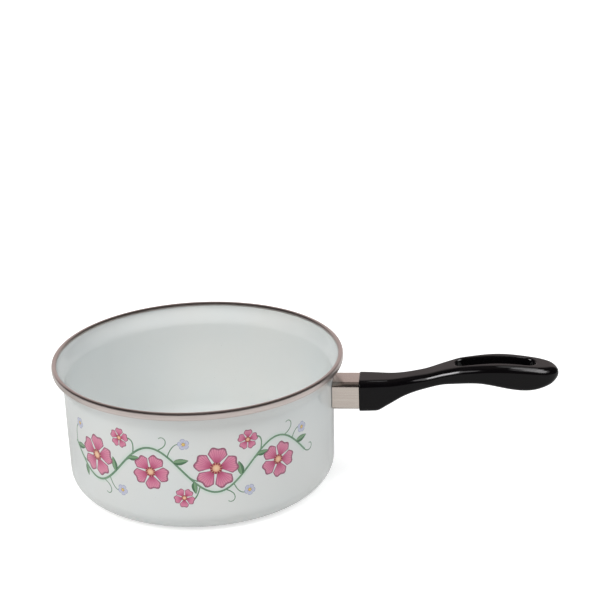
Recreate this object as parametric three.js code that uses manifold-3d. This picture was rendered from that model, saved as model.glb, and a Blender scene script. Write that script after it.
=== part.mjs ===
// Enamelled steel saucepan with a rolled stainless rim band and a moulded handle held by one screw.
// Millimetres, +Z up. The origin is the centre of the base, on the surface that the pan stands on,
// and the handle runs along +X.

import * as THREE from 'three';
import { mergeVertices } from 'three/addons/utils/BufferGeometryUtils.js';
import Module from 'manifold-3d';

const wasm = await Module();
wasm.setup();

// Bowl
const wallRadius = 100; // outside of the wall where the flare begins
const wallDraft = 1; // how much narrower the wall is at its foot
const rimHeight = 97.7; // base to the top of the rim band
const bowlSheet = 1.2; // drawn steel with its enamel on both faces
const baseCorner = 16; // outside radius between wall and base
const flareHeight = 14; // stretch of wall that leans out below the lip
const flareReach = 5.4; // how far it leans out
const lipFold = 0.4; // opening between the wall and the lip that is turned over beside it
const lipDrop = 1.3; // half the height of that opening
const lipEnd = 40; // degrees that the lip turns on below its outermost point

// Rim band, rolled over the lip into a bead
const bandSheet = 0.4;
const bandPlay = 0.1; // between the lip and the band
const bandTuck = 0.3; // how far the band runs on under the bead, past its middle
const bandLap = 6; // degrees that the band stops short of the bead's middle on the cooking side
const beadFlatness = 3.5; // 2 makes the bead's section an ellipse, more makes its sides straighter

// Place of the handle
const handleDrop = 29.85; // top of the rim band down to the handle axis
const jointReach = 19.3; // wall to the joint between ferrule and grip
const seatGap = 0.3; // between pieces that are shaped to each other

// Ferrule, a stainless sleeve between wall and grip
const ferruleWidth = 23.5;
const ferruleHeight = 21.5;
const ferruleCorner = 3.8; // outside radius of its long edges
const ferruleSheet = 0.7;

// Bracket inside the ferrule, a bent strip welded to the wall by two tabs
const bracketHeight = 16;
const bracketSheet = 1.5;
const bracketBend = 2.5; // outside radius of its bends
const bracketMouth = 7; // between the two weld tabs

// Screw, washers and weld nut
const screwRadius = 2.5;
const screwPlay = 0.3; // round the screw where it passes through a piece
const threadPlay = 0.1; // round the screw in the nut
const screwPoint = 2; // stretch of screw past the nut
const pointChamfer = 0.6;
const headRadius = 4.7;
const headSide = 1.4; // straight side of the head
const headDome = 2; // crown above the straight side
const recessLength = 5.2; // across the cross recess
const recessWidth = 1.2;
const recessDepth = 1.9;
const washerRadius = 5;
const washerThickness = 1;
const springRadius = 4.5;
const springThickness = 1.3;
const springSplit = 1; // opening of the spring washer
const nutSide = 9;
const nutHeight = 4;
const nutCorner = 1;

// Grip: places along the handle axis from the joint or from the tip, heights above the axis
const gripLength = 145.2;
const sideProud = 0.7; // root of the grip outside the ferrule, on both sides
const topProud = 0.95;
const bottomProud = 1.35;
const upperRound = 5.2; // long edges of the top face
const lowerRound = 3.6; // long edges of the underside
const tenonLength = 6.5; // inside the ferrule
const tenonRoot = 3; // stretch of tenon inside the grip
const screwSeat = 20; // joint to the seat of the washers
const seatPlay = 0.6; // round the washers in their bore
const topFlat = 19; // straight top next to the joint
const riseAt = 46;
const riseHeight = 15.3;
const shoulderAt = 64;
const shoulderHeight = 20.45;
const backAt = 76;
const backHeight = 23.2;
const crestFromTip = 43.8;
const crestHeight = 25.1;
const undersideFlat = 12; // straight underside next to the joint
const heelAt = 21;
const heelHeight = -7.85;
const slopeAt = 33;
const slopeHeight = -1.05;
const neckAt = 46;
const neckHeight = 4.1;
const archStartAt = 64;
const archStartHeight = 9.1;
const archFromTip = 59.8;
const archHeight = 10.85;
const bellyFromTip = 22.8;
const bellyHeight = 5.5;
const waistAt = 38;
const waistWidth = 19;
const napeAt = 58;
const napeWidth = 21.8;
const backWidth = 26.9;
const palmFromTip = 42;
const palmWidth = 30.8;
const tipTop = 21.05; // where the top line would end without the rounding of the tip
const tipUnderside = 9.85;
const tipWidth = 24.15;
const tipRound = 7.6; // stretch over which top and underside close
const tipTaper = 17.7; // stretch over which the sides close
const tipBlunt = 2.26; // 2 closes them as an ellipse, more as a blunter curve
const slotLength = 57.6;
const slotWidth = 12.8;
const slotFromTip = 17; // end of the hanging slot to the tip
const slotEdge = 1.6; // rounding of the slot's upper and lower rim

// Fineness of round forms
const roundSegments = 64;
const smallSegments = 24;
const cornerSteps = 5;
const flareSteps = 5;
const lipSteps = 7;
const bandSteps = 8;
const sectionSteps = 4;
const slotSteps = 8;
const slotEdgeSteps = 3;
const gripStep = 4; // largest distance between two sections of the grip
const tipSections = 6;

// Derived places
const bandInner = bowlSheet + bandPlay;
const bandOuter = bandInner + bandSheet;
const beadCentre = wallRadius + flareReach + lipFold / 2;
const beadZ = rimHeight - lipDrop - bandOuter;
const flareZ = beadZ - flareHeight;
const axisZ = rimHeight - handleDrop;
const jointX = wallRadius + jointReach;
const tenonEnd = jointX - tenonLength;
const plateFace = tenonEnd - seatGap;
const plateBack = plateFace - bracketSheet;
const seatX = jointX + screwSeat;
const springSeatX = seatX + washerThickness;
const headSeatX = springSeatX + springThickness;
const nutBack = plateBack - nutHeight;
const boreRadius = screwRadius + screwPlay;
const rootTop = ferruleHeight / 2 + topProud;
const rootBottom = ferruleHeight / 2 + bottomProud;

// Closed geometry to a solid: vertices are merged by place, and triangles that vanish are dropped
function solidOf(geometry) {
  const bare = geometry.clone();
  bare.deleteAttribute('normal');
  bare.deleteAttribute('uv');
  const merged = mergeVertices(bare, 1e-4);
  const corners = merged.index.array;
  const kept = [];
  for (let i = 0; i < corners.length; i += 3) {
    const [a, b, c] = corners.slice(i, i + 3);
    if (a !== b && b !== c && c !== a) kept.push(a, b, c);
  }
  const vertProperties = Float32Array.from(merged.attributes.position.array);
  return new wasm.Manifold(new wasm.Mesh({ numProp: 3, vertProperties, triVerts: Uint32Array.from(kept) }));
}

// Solid back to a geometry with flat faces
function geometryOf(solid) {
  const { vertProperties, triVerts } = solid.getMesh();
  const geometry = new THREE.BufferGeometry();
  geometry.setAttribute('position', new THREE.BufferAttribute(Float32Array.from(vertProperties), 3));
  geometry.setIndex(Array.from(triVerts));
  const flat = geometry.toNonIndexed();
  flat.computeVertexNormals();
  return flat;
}

// Points of an arc round (centreX, centreY), angles in degrees
function arc(centreX, centreY, radius, from, to, steps) {
  return Array.from({ length: steps + 1 }, (_, i) => {
    const angle = THREE.MathUtils.degToRad(from + ((to - from) * i) / steps);
    return new THREE.Vector2(centreX + radius * Math.cos(angle), centreY + radius * Math.sin(angle));
  });
}

// Points of the bead's section, the opening in the lip grown by a distance, angles in degrees
function beadArc(grow, from, to, steps) {
  return arc(0, 0, 1, from, to, steps).map(({ x, y }) => {
    const up = Math.sign(y) * Math.abs(y) ** (2 / beadFlatness);
    return new THREE.Vector2(beadCentre + (lipFold / 2 + grow) * x, beadZ + (lipDrop + grow) * up);
  });
}

// Profile of radius and height turned about +Z
function revolveUpright(profile, segments) {
  return solidOf(new THREE.LatheGeometry(profile, segments).rotateX(Math.PI / 2));
}

// Profile of radius and place along X turned about the handle axis
function revolveAlongHandle(profile, segments) {
  const turned = new THREE.LatheGeometry(profile, segments).rotateZ(-Math.PI / 2);
  return solidOf(turned.translate(0, 0, axisZ));
}

// Shape drawn across the handle axis, as Y and height above the axis, carried along X
function extrudeAlongHandle(shape, fromX, toX, curveSegments = sectionSteps) {
  const settings = { depth: toX - fromX, bevelEnabled: false, curveSegments };
  const geometry = new THREE.ExtrudeGeometry(shape, settings);
  const across = new THREE.Matrix4().makeBasis(
    new THREE.Vector3(0, 1, 0),
    new THREE.Vector3(0, 0, 1),
    new THREE.Vector3(1, 0, 0),
  );
  return solidOf(geometry.applyMatrix4(across).translate(fromX, 0, axisZ));
}

// Shape drawn in plan, raised between two heights
function extrudeUpright(shape, fromZ, toZ, curveSegments = sectionSteps) {
  const settings = { depth: toZ - fromZ, bevelEnabled: false, curveSegments };
  const geometry = new THREE.ExtrudeGeometry(shape, settings);
  return solidOf(geometry.translate(0, 0, fromZ));
}

// Rectangle with round corners, centred on the origin
function roundedRectangle(width, height, radius, PathClass = THREE.Shape) {
  const x = width / 2 - radius;
  const y = height / 2 - radius;
  const path = new PathClass();
  path.absarc(x, -y, radius, -Math.PI / 2, 0);
  path.absarc(x, y, radius, 0, Math.PI / 2);
  path.absarc(-x, y, radius, Math.PI / 2, Math.PI);
  path.absarc(-x, -y, radius, Math.PI, Math.PI * 1.5);
  path.closePath();
  return path;
}

// Disc with a round hole
function ring(outer, inner) {
  const shape = new THREE.Shape().absarc(0, 0, outer, 0, Math.PI * 2);
  shape.holes.push(new THREE.Path().absarc(0, 0, inner, 0, Math.PI * 2));
  return shape;
}

// Cylinder on the handle axis
function rod(radius, fromX, toX) {
  const profile = [[0, fromX], [radius, fromX], [radius, toX], [0, toX]];
  return revolveAlongHandle(profile.map(([r, x]) => new THREE.Vector2(r, x)), smallSegments);
}

// Wall from the edge of the base to the lip, seen from outside. inset moves it into the bowl.
function wallLine(inset) {
  const footRadius = wallRadius - wallDraft;
  const lean = THREE.MathUtils.radToDeg(Math.atan(wallDraft / (flareZ - baseCorner)));
  const corner = arc(footRadius - baseCorner, baseCorner, baseCorner - inset, -90, -lean, cornerSteps);
  const flare = Array.from({ length: flareSteps + 1 }, (_, i) => {
    const t = i / flareSteps;
    const reach = flareReach * t * t * (3 - 2 * t);
    return new THREE.Vector2(wallRadius - inset + reach, flareZ + flareHeight * t);
  });
  return [...corner, ...flare];
}

// Drawn bowl: one sheet from the base up the wall, flared and turned over to the outside at the lip
function panBody() {
  const lipBack = beadArc(0, 180, -lipEnd, lipSteps).slice(1);
  const lipFront = beadArc(bowlSheet, -lipEnd, 180, lipSteps);
  const inside = wallLine(bowlSheet).reverse().slice(1);
  const profile = [
    new THREE.Vector2(0, 0),
    ...wallLine(0),
    ...lipBack,
    ...lipFront,
    ...inside,
    new THREE.Vector2(0, bowlSheet),
  ];
  return revolveUpright(profile, roundSegments);
}

// Everything within the outside of the bowl, grown by a gap: the tool that shapes pieces to the wall
function bowlEnvelope(gap) {
  const side = wallLine(0).map((point) => new THREE.Vector2(point.x + gap, point.y));
  const profile = [new THREE.Vector2(0, 0), ...side, new THREE.Vector2(0, beadZ)];
  return revolveUpright(profile, roundSegments);
}

// Stainless strip rolled round the lip, open below, where it closes on the flared wall
function rimBand() {
  const tuck = THREE.MathUtils.radToDeg(Math.asin(bandTuck / (lipFold / 2 + bandOuter)));
  const face = (grow) => [
    ...beadArc(grow, -90 - tuck, -90, 1),
    ...beadArc(grow, -90, 90, bandSteps).slice(1),
    ...beadArc(grow, 90, 180 - bandLap, bandSteps / 2).slice(1),
  ];
  const outside = face(bandOuter);
  const inside = face(bandInner).reverse();
  return revolveUpright([...outside, ...inside, outside[0]], roundSegments);
}

// Rectangular sleeve whose pan end is cut to the curve of the wall
function ferrule() {
  const outline = roundedRectangle(ferruleWidth, ferruleHeight, ferruleCorner);
  const inside = roundedRectangle(
    ferruleWidth - 2 * ferruleSheet,
    ferruleHeight - 2 * ferruleSheet,
    ferruleCorner - ferruleSheet,
    THREE.Path,
  );
  outline.holes.push(inside);
  const sleeve = extrudeAlongHandle(outline, wallRadius - ferruleWidth, jointX);
  return sleeve.subtract(bowlEnvelope(seatGap));
}

// Plan of the bracket or of its pocket: square towards the pan, bent at the end plate
function bracketPlan(endX, halfWidth, bend) {
  const plan = new THREE.Shape();
  plan.moveTo(wallRadius - ferruleWidth, -halfWidth);
  plan.absarc(endX - bend, -halfWidth + bend, bend, -Math.PI / 2, 0);
  plan.absarc(endX - bend, halfWidth - bend, bend, 0, Math.PI / 2);
  plan.lineTo(wallRadius - ferruleWidth, halfWidth);
  plan.closePath();
  return plan;
}

// Strip bent into an open box: end plate, two legs, and two tabs that lie on the wall
function handleBracket() {
  const halfWidth = ferruleWidth / 2 - ferruleSheet - seatGap;
  const low = axisZ - bracketHeight / 2;
  const high = axisZ + bracketHeight / 2;
  const block = extrudeUpright(bracketPlan(plateFace, halfWidth, bracketBend), low, high);
  const pocketPlan = bracketPlan(plateBack, halfWidth - bracketSheet, bracketBend - bracketSheet);
  const pocket = extrudeUpright(pocketPlan, low, high);
  const mouthLength = plateBack - wallRadius + ferruleWidth;
  const mouth = solidOf(
    new THREE.BoxGeometry(mouthLength, bracketMouth, bracketHeight).translate(
      plateBack - mouthLength / 2,
      0,
      axisZ,
    ),
  );
  return block
    .subtract(bowlEnvelope(seatGap))
    .subtract(pocket.subtract(bowlEnvelope(seatGap + bracketSheet)))
    .subtract(mouth)
    .subtract(rod(boreRadius, plateBack, plateFace));
}

// Square nut welded to the back of the end plate
function bracketNut() {
  const outline = roundedRectangle(nutSide, nutSide, nutCorner);
  outline.holes.push(new THREE.Path().absarc(0, 0, screwRadius + threadPlay, 0, Math.PI * 2));
  return extrudeAlongHandle(outline, nutBack, plateBack, smallSegments / 2);
}

// Domed screw with a cross recess, from the washers through grip and bracket into the nut
function handleScrew() {
  const pointX = nutBack - screwPoint;
  const domeStart = headSeatX + headSide;
  const dome = arc(0, 0, 1, 0, 90, cornerSteps).map(
    ({ x, y }) => new THREE.Vector2(headRadius * x, domeStart + headDome * y),
  );
  const profile = [
    new THREE.Vector2(0, pointX),
    new THREE.Vector2(screwRadius - pointChamfer, pointX),
    new THREE.Vector2(screwRadius, pointX + pointChamfer),
    new THREE.Vector2(screwRadius, headSeatX),
    new THREE.Vector2(headRadius, headSeatX),
    ...dome.slice(0, -1),
    new THREE.Vector2(0, domeStart + headDome),
  ];
  const recessX = domeStart + headDome - recessDepth / 2 + seatGap;
  const bar = new THREE.BoxGeometry(recessDepth + 2 * seatGap, recessLength, recessWidth);
  const upright = bar.clone().rotateX(Math.PI / 2);
  return revolveAlongHandle(profile, smallSegments)
    .subtract(solidOf(bar.translate(recessX, 0, axisZ)))
    .subtract(solidOf(upright.translate(recessX, 0, axisZ)));
}

// Flat washer on the seat in the grip
function plainWasher() {
  return extrudeAlongHandle(ring(washerRadius, boreRadius), seatX, springSeatX, smallSegments);
}

// Split spring washer, flat as it is when the screw is tight
function springWasher() {
  const half = springSplit / 2;
  const outerAngle = Math.asin(half / springRadius);
  const innerAngle = Math.asin(half / boreRadius);
  const shape = new THREE.Shape();
  shape.absarc(0, 0, springRadius, outerAngle, Math.PI * 2 - outerAngle);
  shape.absarc(0, 0, boreRadius, Math.PI * 2 - innerAngle, innerAngle, true);
  shape.closePath();
  return extrudeAlongHandle(shape, springSeatX, headSeatX, smallSegments);
}

// Smooth curve through [place, value] stations, level at the first, with no overshoot between them
function curveThrough(stations) {
  const last = stations.length - 1;
  const secant = (i) => (stations[i + 1][1] - stations[i][1]) / (stations[i + 1][0] - stations[i][0]);
  const slopes = stations.map((_, i) => {
    if (i === 0) return 0;
    if (i === last) return secant(last - 1);
    const before = secant(i - 1);
    const after = secant(i);
    return before * after > 0 ? (2 * before * after) / (before + after) : 0;
  });
  return (place) => {
    const next = stations.findIndex(([at]) => at > place);
    const i = next === -1 ? last - 1 : Math.max(next - 1, 0);
    const [start, from] = stations[i];
    const [end, to] = stations[i + 1];
    const t = (place - start) / (end - start);
    const blend = t * t * (3 - 2 * t);
    const leave = t * (1 - t) * (1 - t) * slopes[i];
    const arrive = t * t * (t - 1) * slopes[i + 1];
    return from + (to - from) * blend + (end - start) * (leave + arrive);
  };
}

const topLine = curveThrough([
  [0, rootTop],
  [topFlat, rootTop],
  [riseAt, riseHeight],
  [shoulderAt, shoulderHeight],
  [backAt, backHeight],
  [gripLength - crestFromTip, crestHeight],
  [gripLength, tipTop],
]);
const underLine = curveThrough([
  [0, -rootBottom],
  [undersideFlat, -rootBottom],
  [heelAt, heelHeight],
  [slopeAt, slopeHeight],
  [neckAt, neckHeight],
  [archStartAt, archStartHeight],
  [gripLength - archFromTip, archHeight],
  [gripLength - bellyFromTip, bellyHeight],
  [gripLength, tipUnderside],
]);
const widthLine = curveThrough([
  [0, ferruleWidth + 2 * sideProud],
  [waistAt, waistWidth],
  [napeAt, napeWidth],
  [backAt, backWidth],
  [gripLength - palmFromTip, palmWidth],
  [gripLength, tipWidth],
]);

// Share of the full size left at a place, falling to nothing at the tip along a blunt quarter curve
function closing(place, stretch) {
  const u = Math.max(0, (place - gripLength + stretch) / stretch);
  return Math.max(0, 1 - u ** tipBlunt) ** (1 / tipBlunt);
}

// Ring of the grip at a place, counter-clockwise seen from the tip: a rectangle with round edges,
// which turns into an ellipse as the tip closes
function gripRing(place) {
  const middle = (tipTop + tipUnderside) / 2;
  const round = closing(place, tipRound);
  const top = middle + (topLine(place) - middle) * round;
  const under = middle + (underLine(place) - middle) * round;
  const taper = closing(place, tipTaper);
  const half = (widthLine(place) * taper) / 2;
  const halfHeight = (top - under) / 2;
  const centre = under + halfHeight;
  const corner = (edge, sideY, sideZ, from) => {
    const roundY = THREE.MathUtils.lerp(half, Math.min(edge, half), taper);
    const roundZ = THREE.MathUtils.lerp(halfHeight, Math.min(edge, halfHeight), taper);
    return arc(0, 0, 1, from, from + 90, sectionSteps).map(({ x, y }) => {
      const across = sideY * (half - roundY) + roundY * x;
      const up = centre + sideZ * (halfHeight - roundZ) + roundZ * y;
      return new THREE.Vector3(jointX + place, across, axisZ + up);
    });
  };
  return [
    ...corner(lowerRound, 1, -1, -90),
    ...corner(upperRound, 1, 1, 0),
    ...corner(upperRound, -1, 1, 90),
    ...corner(lowerRound, -1, -1, 180),
  ];
}

// Skin over a row of rings, with a flat face on the first and a point after the last
function loft(rings, tip) {
  const count = rings[0].length;
  const faceCentre = rings[0].reduce((sum, point) => sum.add(point), new THREE.Vector3()).divideScalar(count);
  const vertices = [...rings.flat(), faceCentre, tip];
  const facePole = rings.length * count;
  const tipPole = facePole + 1;
  const triangles = [];
  for (let j = 0; j < count; j += 1) {
    const next = (j + 1) % count;
    triangles.push(facePole, next, j);
    for (let i = 0; i + 1 < rings.length; i += 1) {
      const near = i * count;
      const far = near + count;
      triangles.push(near + j, near + next, far + j, near + next, far + next, far + j);
    }
    const end = (rings.length - 1) * count;
    triangles.push(tipPole, end + j, end + next);
  }
  const geometry = new THREE.BufferGeometry().setFromPoints(vertices);
  geometry.setIndex(triangles);
  return solidOf(geometry);
}

// Places of the sections: even along the grip, closer and closer over the rounding of the tip
function gripPlaces() {
  const straight = gripLength - tipRound;
  const count = Math.ceil(straight / gripStep);
  const even = Array.from({ length: count }, (_, i) => (straight * i) / count);
  const rounded = Array.from({ length: tipSections }, (_, i) => {
    return straight + tipRound * Math.sin((Math.PI / 2) * (i / tipSections));
  });
  return [...even, ...rounded];
}

// Hanging slot in plan, grown by a distance: round at both ends, counter-clockwise seen from above
function slotOutline(grow) {
  const radius = slotWidth / 2 + grow;
  const end = jointX + gripLength - slotFromTip - slotWidth / 2;
  const start = end - slotLength + slotWidth;
  const count = Math.ceil((end - start) / gripStep);
  const straight = Array.from({ length: count - 1 }, (_, i) => start + ((end - start) * (i + 1)) / count);
  return [
    ...arc(end, 0, radius, -90, 90, slotSteps),
    ...straight.map((x) => new THREE.Vector2(start + end - x, radius)),
    ...arc(start, 0, radius, 90, 270, slotSteps),
    ...straight.map((x) => new THREE.Vector2(x, -radius)),
  ];
}

// Tool that rounds a rim of the slot: side 1 where it meets the top, side -1 where it meets the underside
function slotRimTool(line, side) {
  const ringAt = (grow, depth) => {
    const ring = slotOutline(grow).map(
      ({ x, y }) => new THREE.Vector3(x, y, axisZ + line(x - jointX) - side * depth),
    );
    return side > 0 ? ring : ring.reverse();
  };
  const rounded = arc(slotEdge, slotEdge, slotEdge, 180, 270, slotEdgeSteps);
  const rings = [
    ringAt(-seatGap, slotEdge),
    ...rounded.map(({ x, y }) => ringAt(x, y)),
    ringAt(slotEdge, -slotEdge),
  ];
  const middleX = jointX + gripLength - slotFromTip - slotLength / 2;
  const tip = new THREE.Vector3(middleX, 0, axisZ + line(middleX - jointX) + 2 * side * slotEdge);
  return loft(rings, tip);
}

// Moulded grip: swept body with a tenon, a hanging slot, and a screw bore that opens below the neck
function handleGrip() {
  const tip = new THREE.Vector3(jointX + gripLength, 0, axisZ + (tipTop + tipUnderside) / 2);
  const swept = loft(gripPlaces().map(gripRing), tip);
  const tenonInset = 2 * (ferruleSheet + seatGap);
  const tenonOutline = roundedRectangle(
    ferruleWidth - tenonInset,
    ferruleHeight - tenonInset,
    ferruleCorner - ferruleSheet,
  );
  const tenon = extrudeAlongHandle(tenonOutline, tenonEnd, jointX + tenonRoot);
  const slot = extrudeUpright(
    new THREE.Shape(slotOutline(0)),
    axisZ - rootBottom,
    axisZ + crestHeight + rootTop,
  );
  const screwBore = rod(boreRadius, tenonEnd - seatGap, seatX + seatGap);
  const seatBore = rod(washerRadius + seatPlay, seatX, jointX + gripLength - archFromTip);
  return swept
    .add(tenon)
    .subtract(slot)
    .subtract(slotRimTool(topLine, 1))
    .subtract(slotRimTool(underLine, -1))
    .subtract(screwBore)
    .subtract(seatBore);
}

// Finishes
const enamel = new THREE.MeshStandardMaterial({ color: 0xdfe3e1, roughness: 0.12, metalness: 0 });
const stainless = new THREE.MeshStandardMaterial({ color: 0xb8b0aa, roughness: 0.22, metalness: 1 });
const zinc = new THREE.MeshStandardMaterial({ color: 0xa9abaa, roughness: 0.4, metalness: 1 });
const phenolic = new THREE.MeshStandardMaterial({ color: 0x161415, roughness: 0.25, metalness: 0 });

const saucepan = new THREE.Group();

const pieces = [
  ['pan_body', panBody(), enamel],
  ['rim_band', rimBand(), stainless],
  ['handle_bracket', handleBracket(), zinc],
  ['bracket_nut', bracketNut(), zinc],
  ['ferrule', ferrule(), stainless],
  ['handle_grip', handleGrip(), phenolic],
  ['handle_screw', handleScrew(), zinc],
  ['spring_washer', springWasher(), zinc],
  ['plain_washer', plainWasher(), zinc],
];
for (const [name, solid, finish] of pieces) {
  const mesh = new THREE.Mesh(geometryOf(solid), finish);
  mesh.name = name;
  saucepan.add(mesh);
}

export default saucepan;
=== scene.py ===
"""Enamelled steel saucepan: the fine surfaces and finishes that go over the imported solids.

The frame is the solids' own: +Z up, the pan's axis on Z, the handle along +X, the base at height 0.
Pieces are drawn in millimetres and scaled to metres when their mesh is made.
"""

import bmesh
import bpy
import numpy as np
from mathutils import Matrix, Vector


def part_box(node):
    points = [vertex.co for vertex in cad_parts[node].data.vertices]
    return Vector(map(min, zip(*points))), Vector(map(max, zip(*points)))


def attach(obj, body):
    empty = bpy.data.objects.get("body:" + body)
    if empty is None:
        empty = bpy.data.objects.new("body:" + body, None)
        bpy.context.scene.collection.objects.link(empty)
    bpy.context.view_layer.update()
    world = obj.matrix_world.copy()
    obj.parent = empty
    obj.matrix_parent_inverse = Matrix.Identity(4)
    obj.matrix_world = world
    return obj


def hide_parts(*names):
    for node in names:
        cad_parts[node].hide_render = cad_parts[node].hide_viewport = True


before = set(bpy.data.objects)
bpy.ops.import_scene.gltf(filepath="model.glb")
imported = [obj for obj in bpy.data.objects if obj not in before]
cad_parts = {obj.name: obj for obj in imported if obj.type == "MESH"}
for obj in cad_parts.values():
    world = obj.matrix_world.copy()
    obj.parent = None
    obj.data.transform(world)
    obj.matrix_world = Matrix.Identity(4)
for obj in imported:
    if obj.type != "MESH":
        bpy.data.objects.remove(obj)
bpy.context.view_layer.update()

MM = 0.001


def node_box(node):
    """Lowest and highest corner of a solid, in millimetres."""
    low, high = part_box(node)
    return np.array(low) / MM, np.array(high) / MM


# Sizes taken from the solids
rim_low, rim_high = node_box("rim_band")
sleeve_low, sleeve_high = node_box("ferrule")
grip_low, grip_high = node_box("handle_grip")

BEAD_TALL = (rim_high[2] - rim_low[2]) / 2
BEAD_Z = rim_high[2] - BEAD_TALL
AXIS_Z = (sleeve_low[2] + sleeve_high[2]) / 2
JOINT_X = sleeve_high[0]
SLEEVE_WIDTH = sleeve_high[1] - sleeve_low[1]
SLEEVE_HEIGHT = sleeve_high[2] - sleeve_low[2]
GRIP_LENGTH = grip_high[0] - JOINT_X
TENON_LENGTH = JOINT_X - grip_low[0]

# Meshes
MERGE_DISTANCE = 1e-7  # metres
SLIVER = 1e-6  # metres, the shortest edge that a cut may leave
SHARP_ANGLE = 35  # degrees between two faces

# Bowl
BOWL_SHEET = 1.2  # steel with its enamel on both faces
BAND_INNER = BOWL_SHEET + 0.1  # with the play between the lip and the band
BAND_OUTER = BAND_INNER + 0.4  # with the band's sheet
LIP_FOLD = 0.2  # half the opening between the wall and the turned-over lip
LIP_DROP = BEAD_TALL - BAND_OUTER  # half the height of that opening
LIP_END = 40  # degrees that the lip turns on below its outermost point
BEAD_CENTRE = rim_high[0] - LIP_FOLD - BAND_OUTER
FLARE_HEIGHT = 14
FLARE_REACH = 5.4
WALL_RADIUS = BEAD_CENTRE - LIP_FOLD - FLARE_REACH
WALL_DRAFT = 1  # how much narrower the wall is at its foot
BASE_CORNER = 16
BASE_DISH = 0.5  # rise of the base to its middle
FLARE_Z = BEAD_Z - FLARE_HEIGHT
FOOT_RADIUS = WALL_RADIUS - WALL_DRAFT
BEAD_FLATNESS = 3.5  # 2 makes the bead's section an ellipse, more makes its sides straighter
BAND_TUCK = 9  # degrees that the band runs on under the bead, past its lowest point
BAND_LAP = 6  # degrees that it stops short of the bead's middle on the cooking side
ROUND_SEGMENTS = 384
DISH_POINTS = 24
CORNER_STEPS = 16
WALL_POINTS = 26
FLARE_POINTS = 17
LIP_BACK_STEPS = 24
LIP_FRONT_STEPS = 44
BAND_STEPS = 91
BAND_EDGE_STEPS = 6

# Ferrule
SEAT_GAP = 0.3  # between pieces that are shaped to each other
SLEEVE_CORNER = 3.8
SLEEVE_SHEET = 0.7
SLEEVE_EDGE = 0.15  # broken edge of the sheet
SLEEVE_POINTS = 12
SLEEVE_CORNER_STEPS = 10

# Grip: places from the joint or from the tip, heights above the handle axis
SIDE_PROUD = 0.7  # root of the grip outside the ferrule
TOP_PROUD = 0.95
BOTTOM_PROUD = 1.35
ROOT_TOP = SLEEVE_HEIGHT / 2 + TOP_PROUD
ROOT_BOTTOM = SLEEVE_HEIGHT / 2 + BOTTOM_PROUD
ROOT_EDGE = 0.6  # rounding of the edge next to the ferrule, and bevel of the tenon's end
UPPER_ROUND = 5.2
LOWER_ROUND = 3.6
TIP_TOP = 21.05
TIP_UNDERSIDE = 9.85
TIP_ROUND = 7.6  # stretch where top and underside close
TIP_TAPER = 17.7  # stretch where the sides close
TIP_BLUNT = 2.26  # 2 closes them as an ellipse, more as a blunter curve
TOP_STATIONS = [
    (0, ROOT_TOP),
    (19, ROOT_TOP),
    (46, 15.3),
    (64, 20.45),
    (76, 23.2),
    (GRIP_LENGTH - 43.8, 25.1),
    (GRIP_LENGTH, TIP_TOP),
]
UNDER_STATIONS = [
    (0, -ROOT_BOTTOM),
    (12, -ROOT_BOTTOM),
    (21, -7.85),
    (33, -1.05),
    (46, 4.1),
    (64, 9.1),
    (GRIP_LENGTH - 59.8, 10.85),
    (GRIP_LENGTH - 22.8, 5.5),
    (GRIP_LENGTH, TIP_UNDERSIDE),
]
WIDTH_STATIONS = [
    (0, SLEEVE_WIDTH + 2 * SIDE_PROUD),
    (38, 19),
    (58, 21.8),
    (76, 26.9),
    (GRIP_LENGTH - 42, 30.8),
    (GRIP_LENGTH, 24.15),
]
SLOT_LENGTH = 57.6
SLOT_RADIUS = 6.4
SLOT_FROM_TIP = 17
SLOT_EDGE = 1.6  # rounding of the slot's rim
SLOT_RIM = SLOT_RADIUS + SLOT_EDGE
SLOT_FAR = GRIP_LENGTH - SLOT_FROM_TIP - SLOT_RADIUS  # centres of the slot's round ends
SLOT_NEAR = SLOT_FAR - SLOT_LENGTH + 2 * SLOT_RADIUS
BORE_RADIUS = 2.8
BORE_PAST = 1  # how far the cut starts in front of the tenon
SEAT_RADIUS = 5.6
SEAT_AT = 20  # joint to the seat of the washers
SEAT_REACH = 63  # length of the bore in front of the seat
BORE_SEGMENTS = 64
ROOT_EDGE_SECTIONS = 6
ROOT_SECTIONS = 48
SLOT_END_SECTIONS = 15
SLOT_SECTIONS = 24
LEAD_SECTIONS = 6
TIP_SECTIONS = 26
RUN_POINTS = 9
EDGE_POINTS = 13
SIDE_POINTS = 13
SLOT_EDGE_POINTS = 9
SLOT_WALL_POINTS = 8

# Print: arcs from the middle of the front towards the handle, heights above the base
VINE_MIDDLE = 50
VINE_SWING = 17
VINE_PERIOD = 94
VINE_PHASE = -46.5
VINE_REACH = 97
PRINT_SHELL = 0.06  # thickness of a printed piece, part of it inside the wall
RIBBON_TAPER = 1.5  # power by which a line's width changes along it
STEM_END = 0.5  # share of a flower's radius where its stem ends, under a petal
LEAF_ANGLE = 46  # degrees between leaf and vine
LEAF_LENGTH = 11
LEAF_WIDTH = 4.8
LEAF_SIZES = (1.0, 0.85)  # shares of the full size, by turns
LEAF_FULLNESS = 0.8  # below 1 a leaf is fuller towards both ends
LEAF_BEND = 0.12  # bend of its tip, as a share of its length
PETALS = 5
PETAL_FOOT = 0.62  # share of its angle that a petal has at the eye
PETAL_ROUND = 0.20  # share of its length that it loses at both sides
PETAL_WAVE = 2.2  # half waves of its notch from middle to side
PETAL_START = 0.14  # shares of the flower's radius
PETAL_LENGTH = 0.82
VEIN_TURN = 56.5  # radians of the sine across a petal, nine veins
STAMEN_TURN = 75.4  # radians of the sine round an eye, twelve stamens
VINE_POINTS = 300
STEM_POINTS = 36
LINE_COLUMNS = 5
WASH_COLUMNS = 9
LEAF_GRID = (17, 9)
PETAL_GRID = (17, 15)
EYE_GRID = (7, 33)

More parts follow.
